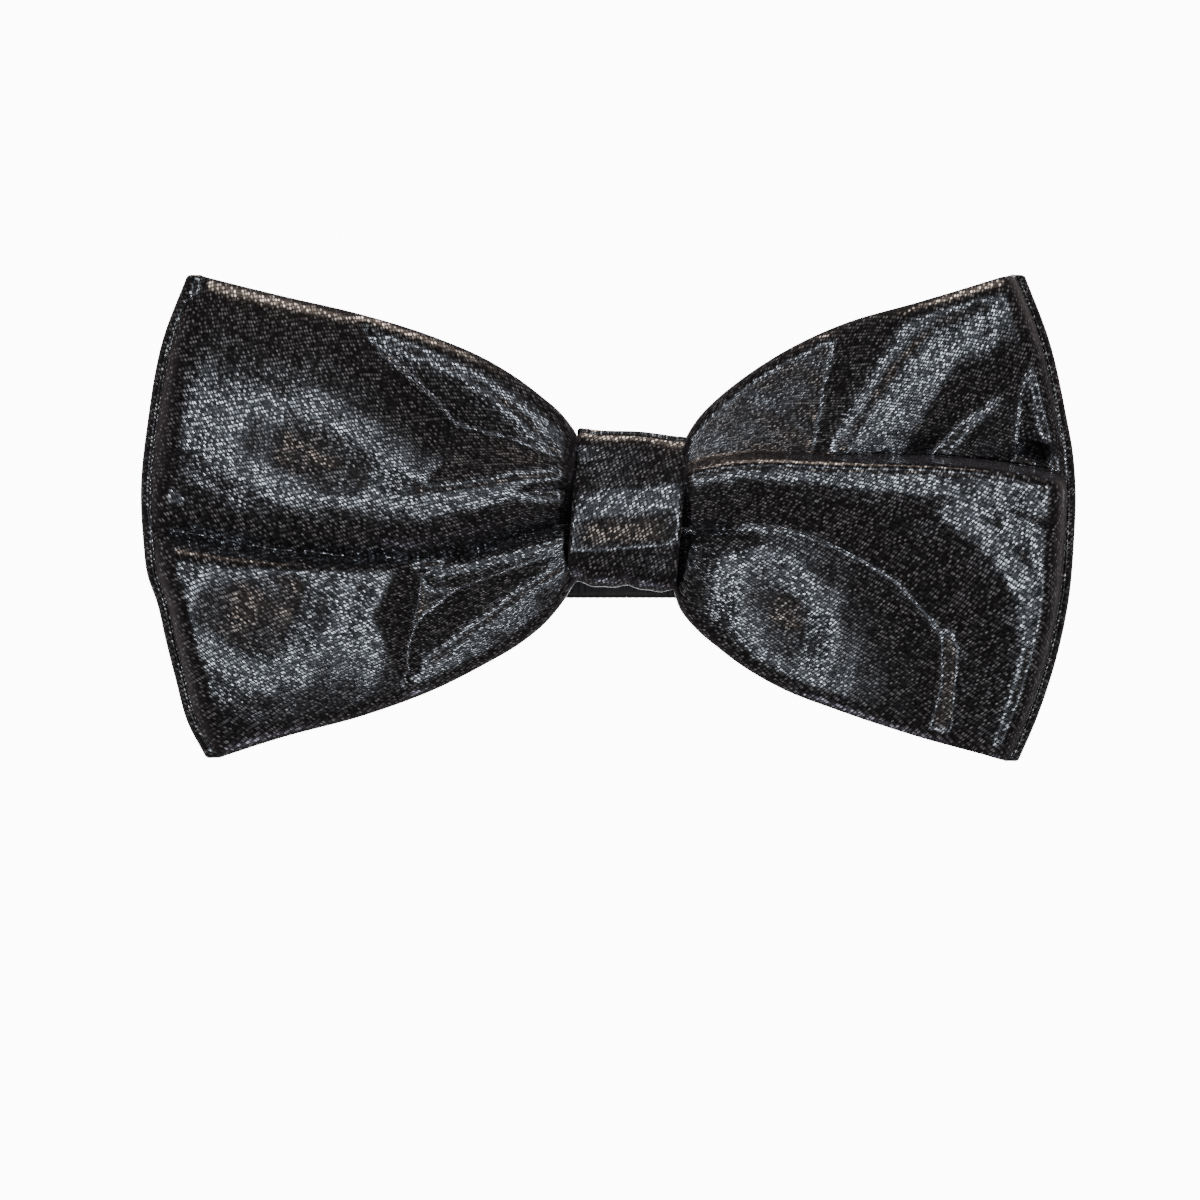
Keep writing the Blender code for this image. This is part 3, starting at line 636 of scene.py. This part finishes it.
def make_loop(wing, satin):
    stations = np.concatenate([FRONT_STATIONS, FOLD_STATIONS, BACK_STATIONS])
    middle = wing.middle(stations, HEIGHTS)
    name = f"{wing.side}_satin_loop"
    obj = flat_tube(name, middle, TUBE_HALF, wing.outward, WING_WIDTH, satin, HEIGHTS)
    finish_piece(obj, "satin", "bow", f"{wing.side}_loop")


def make_interlining(wing, felt):
    """The stiff sheet inside a loop: its middle surface, a little short of every edge."""
    stations = np.concatenate([FRONT_STATIONS[5:], FOLD_STATIONS, BACK_STATIONS[:-4]])
    across = HEIGHTS[3:-3]
    middle = wing.middle(stations, across)
    cloth = np.stack(np.meshgrid(stations, WING_WIDTH * across, indexing="ij"), axis=-1)
    obj = grid_mesh(f"{wing.side}_interlining_sheet", middle, cloth, False, wing.outward < 0)
    solidify(obj, INTERLINING, 0)
    obj.data.materials.append(felt)
    finish_piece(obj, "interlining", "bow", f"{wing.side}_interlining")


def knot_drop(z):
    """How far the knot's front falls back from its crest at a height z, from its slopes."""
    at, slope = np.array(KNOT_SLOPES).T
    fine = np.linspace(at[0], at[-1], 400)
    slopes = np.interp(fine, at, slope)
    drop = np.concatenate([[0], np.cumsum((slopes[1:] + slopes[:-1]) / 2 * np.diff(fine))])
    return np.interp(z, fine, drop - drop.min())


def knot_profile(count):
    """(y, z) round the knot from behind, over the bottom, front and top and past its start; even steps."""
    a = np.linspace(-math.pi + 0.35, math.pi + 0.77, 4000)
    c, s = np.cos(a), np.sin(a)
    y = -KNOT_HALF[0] * bent(c, 2 / KNOT_POWER)
    z = KNOT_HALF[1] * bent(s, 2 / KNOT_POWER)
    lap = smooth((a - math.pi + 0.35) / 0.5)
    y = y + 1.1 * lap
    length = np.concatenate([[0], np.cumsum(np.hypot(np.diff(y), np.diff(z)))])
    even = np.linspace(0, length[-1], count)
    return np.interp(even, length, y), np.interp(even, length, z)


def knot_place(points):
    """From the knot's own frame to the world's, in mm."""
    c, s = math.cos(KNOT_TILT), math.sin(KNOT_TILT)
    x, y, z = points[..., 0], points[..., 1], points[..., 2]
    return KNOT_CENTRE + np.stack([x * c + z * s, y, -x * s + z * c], axis=-1)


def make_padding(band, felt):
    """The pad that fills the knot's front: it follows the band's inside and is flat behind.

    band is the band's middle surface in the knot's own frame.
    """
    outer = band[:, 4:-4] + np.array([0, BAND_HALF + PAD_GAP, 0])
    depth = outer[:, outer.shape[1] // 2, 1]
    outer = outer[depth < PAD_BACK - 0.5]
    rows, columns = outer.shape[:2]
    edge = np.minimum(1 - np.abs(np.linspace(-1, 1, rows))[:, None] ** 6,
                      1 - np.abs(np.linspace(-1, 1, columns)) ** 6)
    thick = np.maximum((PAD_BACK - outer[..., 1]) * np.sqrt(edge), 0.12)
    outer[..., 1] += 0.35 * (1 - np.sqrt(edge))
    inner = outer + np.stack([0 * thick, thick, 0 * thick], axis=-1)
    points = np.concatenate([outer.reshape(-1, 3), inner.reshape(-1, 3)])
    half = rows * columns
    faces = []
    for i in range(rows - 1):
        for j in range(columns - 1):
            quad = (i * columns + j, i * columns + j + 1, (i + 1) * columns + j + 1, (i + 1) * columns + j)
            faces += [quad, tuple(half + v for v in quad[::-1])]
    rim = [*range(columns), *range(2 * columns - 1, half, columns),
           *range(half - 2, half - columns - 1, -1), *range(half - 2 * columns, 0, -columns)]
    faces += [(a, b, half + b, half + a) for a, b in zip(rim, rim[1:] + rim[:1])]
    pad = plain_mesh("knot_felt_pad", knot_place(points), faces, felt)
    finish_piece(pad, "interlining", "bow", "knot_padding")


def make_knot(satin, felt):
    y, z = knot_profile(KNOT_ROWS)
    t = np.linspace(-1, 1, KNOT_COLUMNS)
    taper = 1 + 0.012 * z / KNOT_HALF[1]
    x = 0.5 * (KNOT_WIDTH - 2 * BAND_HALF) * t[None, :] * taper[:, None]
    y, z = y[:, None] + 0 * x, z[:, None] + 0 * x
    front = smooth((-y - 0.5) / 3.0)
    y = y + front * knot_drop(z - 0.16 * x)
    y = y + front * 0.30 * t[None, :] ** 4
    y = y + front * 0.10 * np.sin(0.85 * x + 0.4) * np.exp(-((z - 5.5) / 3.0) ** 2)
    low = smooth((-z - 6.0) / 3.0)
    z = z + low * (0.22 * np.sin(0.95 * x + 0.8) + 0.10 * np.sin(2.1 * x))
    high = smooth((z - 6.5) / 2.5)
    z = z + high * 0.12 * np.sin(0.6 * x + 1.0)
    band = np.stack([x, y, z], axis=-1)
    make_padding(band, felt)
    middle = knot_place(band)
    obj = flat_tube("knot_satin_band", middle, BAND_HALF, -1.0, KNOT_WIDTH, satin)
    finish_piece(obj, "satin", "bow", "knot_band")


def make_thread(name, path, node, thread):
    obj = plain_mesh(name, *twisted(np.array(path), THREAD_RADIUS, PLY_PITCH), thread)
    finish_piece(obj, "thread", "bow", node)


def make_gathering_thread(thread):
    """Turns that draw the wings together under the knot."""
    a = np.linspace(0, TAU * GATHER_TURNS, 90 * GATHER_TURNS)
    y = WAIST_Y - GATHER_OVAL[0] * bent(np.cos(a), 1 / 3)
    z = GATHER_OVAL[1] * bent(np.sin(a), 1 / 3)
    x = GATHER_PITCH * (a / TAU - GATHER_TURNS / 2)
    make_thread("gathering_thread_turns", np.stack([x, y, z], axis=-1), "gathering_thread", thread)


def make_ribbon(grosgrain):
    """A ribbon folded double: a long flat ring with ribs across it."""
    low, high = RIBBON_LOW, RIBBON_HIGH
    middle = (low + high) / 2
    run = (high[0] - low[0]) / 2 - RIBBON_LAYER - RIBBON_THICK / 2
    straight, bend = 2 * run, math.pi * RIBBON_LAYER
    total = 2 * (straight + bend)
    ribs = round(total / RIB_PITCH)
    at = np.linspace(0, total, ribs * 6, endpoint=False)
    away = RIBBON_LAYER + RIB_HEIGHT * np.cos(TAU * ribs * at / total)
    half = at % (total / 2)
    angle = np.clip((half - straight) / bend, 0, 1) * math.pi
    x = -run + np.minimum(half, straight) + away * np.sin(angle)
    y = away * np.cos(angle)
    second = at >= total / 2
    x, y = np.where(second, -x, x), np.where(second, -y, y)
    z = np.linspace(low[2], high[2], RIBBON_ROWS)
    scallop = np.zeros(RIBBON_ROWS)
    scallop[[0, -1]] = (1, -1)
    z = z[:, None] + RIB_SCALLOP * scallop[:, None] * np.cos(TAU * ribs * at / total)
    bow = 0.10 * np.sin(0.35 * x)[None, :] * np.cos(0.25 * z)
    points = np.stack([middle[0] + x + 0 * z, middle[1] + y + bow, z], axis=-1)
    cloth = np.stack([z, at + 0 * z], axis=-1)
    obj = grid_mesh("grosgrain_ribbon", points, cloth, True, False)
    solidify(obj, RIBBON_THICK, 0)
    obj.data.materials.append(grosgrain)
    finish_piece(obj, "ribbon", "bow", "backing_ribbon")


def make_stitches(name, rise, count, span, thread):
    """A row of hand stitches across the ribbon's back, up and down by rise."""
    low, high = cad_box(f"backing_stitches_{name}")
    surface = RIBBON_HIGH[1] - 0.1
    path = []
    for i in range(2 * count + 1):
        x = span * (i / (2 * count) - 0.5)
        z = (low[2] + high[2]) / 2 + rise / 2 * math.sin(math.pi * i / 2)
        path.append((x, surface + (0.1 if i % 2 else 0.32), z))
    make_thread(f"{name}_hand_stitches", curve_through(path, 30 * count), f"backing_stitches_{name}", thread)


def make_tack(side, thread):
    """Turns of thread through the clip's sewing holes and the ribbon."""
    low, high = cad_box(f"{side}_clip_tack")
    middle, half = (low + high) / 2, (high - low) / 2 - THREAD_RADIUS
    a = np.linspace(0.5, 0.5 + TACK_TURNS * TAU, 80 * TACK_TURNS)
    c, s = np.cos(a), np.sin(a)
    x = middle[0] + ((a - 0.5) / TAU - TACK_TURNS / 2) * (0.13 + 0.26 * c * c)
    y = middle[1] + half[1] * bent(c, 0.3)
    z = middle[2] + half[2] * bent(s, 0.3)
    make_thread(f"{side}_tack_turns", np.stack([x, y, z], axis=-1), f"{side}_clip_tack", thread)


def make_spring(side, steel):
    """A torsion spring coiled on its pin, with a straight leg at each end."""
    outward = 1.0 if side == "right" else -1.0
    hinge = np.array([outward * HINGE_X, HINGE_Y, 0.0])
    a = np.linspace(0, 1, 200)
    angle = -math.pi / 2 + outward * TAU * (SPRING_TURNS + 0.5) * a
    coil = np.stack([SPRING_RADIUS * np.cos(angle), SPRING_RADIUS * np.sin(angle),
                     SPRING_REACH * (2 * a - 1)], axis=-1)
    t = np.linspace(0, 1, 16)[:-1, None]
    start = np.array([-outward * SPRING_LEG, -SPRING_RADIUS - 0.35, -SPRING_REACH])
    end = np.array([-outward * SPRING_LEG, SPRING_RADIUS, SPRING_REACH])
    fixed = start * (1 - t) + coil[0] * t
    moving = end + (coil[-1] - end) * (1 - t[1:] - 1 / 15)
    path = np.concatenate([fixed, coil, moving])
    obj = plain_mesh(f"{side}_spring_coil", *tube(hinge + path, SPRING_WIRE, 8), steel)
    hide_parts(f"{side}_torsion_spring")
    low, high = hinge.copy(), hinge.copy()
    low[2], high[2] = -SPRING_REACH, SPRING_REACH
    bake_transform(obj)


# Materials

class Nodes:
    """A short way to write a material's node tree."""

    def __init__(self, name):
        self.material = bpy.data.materials.new(name)
        self.material.use_nodes = True
        self.tree = self.material.node_tree
        self.shader = self.tree.nodes["Principled BSDF"]

    def add(self, kind, inputs=None, **settings):
        node = self.tree.nodes.new(kind)
        for key, value in settings.items():
            setattr(node, key, value)
        for key, value in (inputs or {}).items():
            self.set(node.inputs[key], value)
        return node

    def set(self, socket, value):
        if isinstance(value, bpy.types.NodeSocket):
            self.tree.links.new(value, socket)
        else:
            socket.default_value = value

    def math(self, operation, a, b=0.0, clamp=False):
        return self.add("ShaderNodeMath", {0: a, 1: b}, operation=operation, use_clamp=clamp).outputs[0]

    def ramp(self, value, low, high, out_low=0.0, out_high=1.0):
        node = self.add("ShaderNodeMapRange", {"Value": value, "From Min": low, "From Max": high,
                                               "To Min": out_low, "To Max": out_high},
                        interpolation_type="SMOOTHSTEP")
        return node.outputs["Result"]

    def mix(self, factor, a, b):
        node = self.add("ShaderNodeMix", {"Factor": factor}, data_type="RGBA")
        self.set(node.inputs[6], a)
        self.set(node.inputs[7], b)
        return node.outputs[2]

    def noise(self, vector, scale, detail=2.0, roughness=0.5, **more):
        return self.add("ShaderNodeTexNoise", {"Vector": vector, "Scale": scale, "Detail": detail,
                                               "Roughness": roughness, **more}).outputs["Fac"]

    def scaled(self, vector, scale, turn=0.0):
        node = self.add("ShaderNodeMapping", {"Vector": vector, "Scale": scale, "Rotation": (0, 0, turn)})
        return node.outputs[0]

    def cloth(self):
        """The cloth's own coordinates, in mm."""
        uv = self.add("ShaderNodeUVMap", uv_map="cloth").outputs[0]
        return self.scaled(uv, (1 / MM, 1 / MM, 1))

    def place(self):
        """The object's own coordinates, in mm."""
        co = self.add("ShaderNodeTexCoord").outputs["Object"]
        return self.scaled(co, (1 / MM, 1 / MM, 1 / MM))

    def bump(self, height, strength, distance, normal=None):
        inputs = {"Height": height, "Strength": strength, "Distance": distance * MM}
        if normal is not None:
            inputs["Normal"] = normal
        return self.add("ShaderNodeBump", inputs).outputs[0]

    def shade(self, **sockets):
        """Set the shader's sockets, named with _ for a space, and give back the material."""
        for name, value in sockets.items():
            self.set(self.shader.inputs[name.replace("_", " ")], value)
        return self.material


def satin_material():
    """Black satin: dull floats, and a lattice of small crossings that each glint their own way."""
    n = Nodes("black_satin")
    cloth = n.cloth()
    warp = n.noise(n.scaled(cloth, (0.25, 0.25, 1)), 1.0, 1.0)
    split = n.add("ShaderNodeSeparateXYZ", {0: cloth})
    u, v = split.outputs[0], split.outputs[1]

    def lattice(du, dv):
        t = n.math("ADD", n.math("MULTIPLY", u, du), n.math("MULTIPLY", v, dv))
        return n.math("ADD", t, n.math("MULTIPLY", warp, 1.2))

    row = lattice(-ROW_LEAN / ROW_PITCH, 1 / ROW_PITCH)
    column = lattice(1 / COLUMN_PITCH, COLUMN_LEAN / COLUMN_PITCH)
    place = n.add("ShaderNodeCombineXYZ", {0: row, 1: column}).outputs[0]
    cell = n.add("ShaderNodeTexVoronoi", {"Vector": place, "Scale": 1.0, "Randomness": 0.35},
                 voronoi_dimensions="2D", feature="F1")
    chance = n.add("ShaderNodeSeparateColor", {0: cell.outputs["Color"]}).outputs[0]
    dot = n.ramp(cell.outputs["Distance"], 0.18, 0.50, 1.0, 0.0)
    patches = n.noise(n.scaled(cloth, (0.5, 0.8, 1)), 1.0, 2.0, 0.6)
    bright = n.math("MULTIPLY", n.math("POWER", chance, 2.2), n.ramp(patches, 0.3, 0.7, 0.7, 1.1))
    sparkle = n.math("MULTIPLY", dot, bright, clamp=True)
    floats = n.noise(n.scaled(cloth, (2.0, 5.5, 1), 0.3), 1.0, 2.0, 0.6)
    dull = n.mix(n.ramp(floats, 0.3, 0.7), SATIN_DARK, SATIN_MID)
    colour = n.mix(sparkle, dull, SATIN_GLINT)
    tilt = n.add("ShaderNodeVectorMath", {0: cell.outputs["Color"], 1: (0.5, 0.5, 0.5)}, operation="SUBTRACT")
    tilt = n.add("ShaderNodeVectorMath", {0: tilt.outputs[0], "Scale": GLINT_TILT}, operation="SCALE")
    facing = n.add("ShaderNodeNewGeometry").outputs["Normal"]
    facet = n.add("ShaderNodeVectorMath", {0: facing, 1: tilt.outputs[0]}, operation="ADD")
    facet = n.add("ShaderNodeVectorMath", {0: facet.outputs[0]}, operation="NORMALIZE").outputs[0]
    return n.shade(Metallic=1.0, Sheen_Weight=0.12, Sheen_Tint=SATIN_SHEEN, Base_Color=colour,
                   Roughness=n.ramp(sparkle, 0.0, 0.5, 0.27, 0.21), Normal=n.bump(dot, 1.0, 0.003, facet))


def metal_material(name, dark, light, roughness, stretch):
    """Plated or drawn steel: fine brush lines along one axis, and broad smudges."""
    n = Nodes(name)
    place = n.place()
    lines = n.noise(n.scaled(place, stretch), 1.0, 3.0, 0.6)
    smudge = n.noise(n.scaled(place, (0.25, 0.25, 0.25)), 1.0, 3.0, 0.6)
    rough = n.ramp(lines, 0.3, 0.7, roughness[0], roughness[1])
    rough = n.math("ADD", rough, n.ramp(smudge, 0.35, 0.75, 0.0, 0.08))
    return n.shade(Base_Color=n.mix(n.ramp(smudge, 0.3, 0.7), dark, light), Metallic=1.0, Roughness=rough,
                   Normal=n.bump(lines, 0.6, 0.004))


def felt_material():
    """Non-woven interlining: pressed fibres in every direction."""
    n = Nodes("white_interlining")
    place = n.place()
    wander = n.noise(place, 0.6, 2.0, Distortion=1.5)
    fibres = n.noise(place, 3.2, 5.0, 0.75, Distortion=2.5)
    return n.shade(Base_Color=n.mix(n.ramp(fibres, 0.35, 0.65), FELT_DARK, FELT_LIGHT),
                   Roughness=n.ramp(wander, 0.3, 0.7, 0.85, 0.98), Normal=n.bump(fibres, 0.8, 0.05))


def grosgrain_material():
    """Black ribbed ribbon: the ribs run across it, with fine yarns along it."""
    n = Nodes("black_grosgrain")
    cloth = n.cloth()
    yarns = n.noise(n.scaled(cloth, (7.0, 0.8, 1)), 1.0, 2.0, 0.6)
    uneven = n.noise(n.scaled(cloth, (0.5, 3.0, 1)), 1.0, 2.0, 0.5)
    tone = n.math("MULTIPLY", n.ramp(yarns, 0.3, 0.7, 0.4, 1.0), n.ramp(uneven, 0.25, 0.75, 0.7, 1.0))
    return n.shade(Base_Color=n.mix(tone, GROSGRAIN_DARK, GROSGRAIN_LIGHT),
                   Roughness=n.ramp(uneven, 0.3, 0.7, 0.42, 0.6), Sheen_Weight=0.2,
                   Normal=n.bump(yarns, 0.8, 0.02))


def thread_material():
    """Black polyester thread: fine fibres with a slight shine."""
    n = Nodes("black_thread")
    fibres = n.noise(n.place(), 9.0, 3.0, Distortion=1.0)
    return n.shade(Base_Color=n.mix(n.ramp(fibres, 0.3, 0.7), THREAD_DARK, THREAD_LIGHT),
                   Roughness=n.ramp(fibres, 0.3, 0.7, 0.38, 0.55), Sheen_Weight=0.15,
                   Normal=n.bump(fibres, 0.7, 0.015))


# Stage

def area_light(name, direction, distance, size, power, colour):
    light = bpy.data.lights.new(name, "AREA")
    light.shape = "DISK"
    light.size = size
    light.energy = power
    light.color = colour
    obj = bpy.data.objects.new(name, light)
    bpy.context.scene.collection.objects.link(obj)
    obj.location = LIGHT_TARGET + Vector(direction).normalized() * distance
    obj.rotation_euler = (LIGHT_TARGET - obj.location).to_track_quat("-Z", "Y").to_euler()


def make_camera():
    scene = bpy.context.scene
    camera = bpy.data.objects.new("camera", bpy.data.cameras.new("camera"))
    scene.collection.objects.link(camera)
    camera.data.lens = LENS
    camera.data.sensor_width = SENSOR
    distance = LENS / SENSOR * VIEW_WIDTH * MM
    camera.location = CAMERA_AIM + Vector((0, -distance, 0))
    camera.rotation_euler = (math.radians(90), 0, 0)
    scene.camera = camera


def make_world():
    """Pale where it is looked at, and dim as a light."""
    world = bpy.data.worlds.new("studio")
    bpy.context.scene.world = world
    world.use_nodes = True
    tree = world.node_tree
    path = tree.nodes.new("ShaderNodeLightPath")
    seen = tree.nodes.new("ShaderNodeBackground")
    seen.inputs["Strength"].default_value = FLOOR_GLOW
    seen.inputs["Color"].default_value = (1, 1, 1, 1)
    dim = tree.nodes["Background"]
    dim.inputs["Color"].default_value = AMBIENT_COLOUR
    dim.inputs["Strength"].default_value = AMBIENT
    mix = tree.nodes.new("ShaderNodeMixShader")
    tree.links.new(path.outputs["Is Camera Ray"], mix.inputs[0])
    tree.links.new(dim.outputs[0], mix.inputs[1])
    tree.links.new(seen.outputs[0], mix.inputs[2])
    tree.links.new(mix.outputs[0], tree.nodes["World Output"].inputs[0])


def make_floor():
    """A pale upright plane behind the bow that shows from the front only and takes no part in the light."""
    bpy.ops.mesh.primitive_plane_add(size=FLOOR_SIZE, location=(0, FLOOR_Y * MM, 0),
                                     rotation=(math.radians(90), 0, 0))
    floor = bpy.context.object
    floor.name = "pale_floor"
    n = Nodes("pale_floor")
    n.shade(Base_Color=(0.9, 0.9, 0.9, 1), Roughness=0.8, Specular_IOR_Level=0.0,
            Emission_Color=(1, 1, 1, 1), Emission_Strength=FLOOR_GLOW)
    clear = n.add("ShaderNodeBsdfTransparent")
    facing = n.add("ShaderNodeNewGeometry").outputs["Backfacing"]
    unseen = n.math("SUBTRACT", 1.0, n.add("ShaderNodeLightPath").outputs["Is Camera Ray"])
    both = n.add("ShaderNodeMixShader", {0: n.math("MAXIMUM", facing, unseen)})
    n.tree.links.new(n.shader.outputs[0], both.inputs[1])
    n.tree.links.new(clear.outputs[0], both.inputs[2])
    n.tree.links.new(both.outputs[0], n.tree.nodes["Material Output"].inputs[0])
    floor.data.materials.append(n.material)


def light_ring(name, count, start, tilt, side, kind):
    """Lights evenly round the Y axis, on its side -1 or 1, the first of them at the angle start."""
    sin, cos = math.sin(math.radians(tilt)), math.cos(math.radians(tilt))
    for i in range(count):
        a = TAU * i / count + start
        area_light(f"{name}_{i}", (sin * math.cos(a), side * cos, sin * math.sin(a)), *kind)


def make_lights():
    light_ring("ring", 16, 0.2, RING_TILT, -1, RING_LIGHT)
    area_light("warm", (0.0, -1.0, 0.0), *WARM_LIGHT)
    area_light("top_warm", (0.0, 0.05, 1.0), *TOP_LIGHT)
    area_light("low_lilac", (0.0, 0.15, -1.0), *LOW_LIGHT)
    light_ring("rear", 8, 0.0, REAR_TILT, 1, REAR_LIGHT)
    area_light("rear_warm", (0.0, 1.0, 0.0), *REAR_WARM_LIGHT)


def main():
    make_camera()
    make_world()
    make_lights()
    make_floor()
    satin, felt, thread = satin_material(), felt_material(), thread_material()
    nickel = metal_material("nickel_plate", NICKEL_DARK, NICKEL_LIGHT, (0.16, 0.28), (0.3, 9.0, 9.0))
    steel = metal_material("spring_steel", STEEL_DARK, STEEL_LIGHT, (0.22, 0.34), (6.0, 6.0, 1.0))
    left = Wing("left", LEFT_TOP, LEFT_BOTTOM, LEFT_END, left_relief, LEFT_CREASE, HEIGHTS[LEFT_CREASE_ROW])
    right = Wing("right", RIGHT_TOP, RIGHT_BOTTOM, RIGHT_END, right_relief, RIGHT_CREASE,
                 HEIGHTS[RIGHT_CREASE_ROW])
    for wing in (left, right):
        make_loop(wing, satin)
        make_interlining(wing, felt)
    make_knot(satin, felt)
    make_gathering_thread(thread)
    make_ribbon(grosgrain_material())
    make_stitches("upper", 0.8, 14, 12.0, thread)
    make_stitches("lower", 2.0, 10, 12.0, thread)
    for side in ("left", "right"):
        make_tack(side, thread)
        make_spring(side, steel)
    for node in CLIP_NODES:
        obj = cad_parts[node]
        obj.data.materials.clear()
        obj.data.materials.append(nickel)
        soften_edges(obj, CLIP_BEVEL)


main()
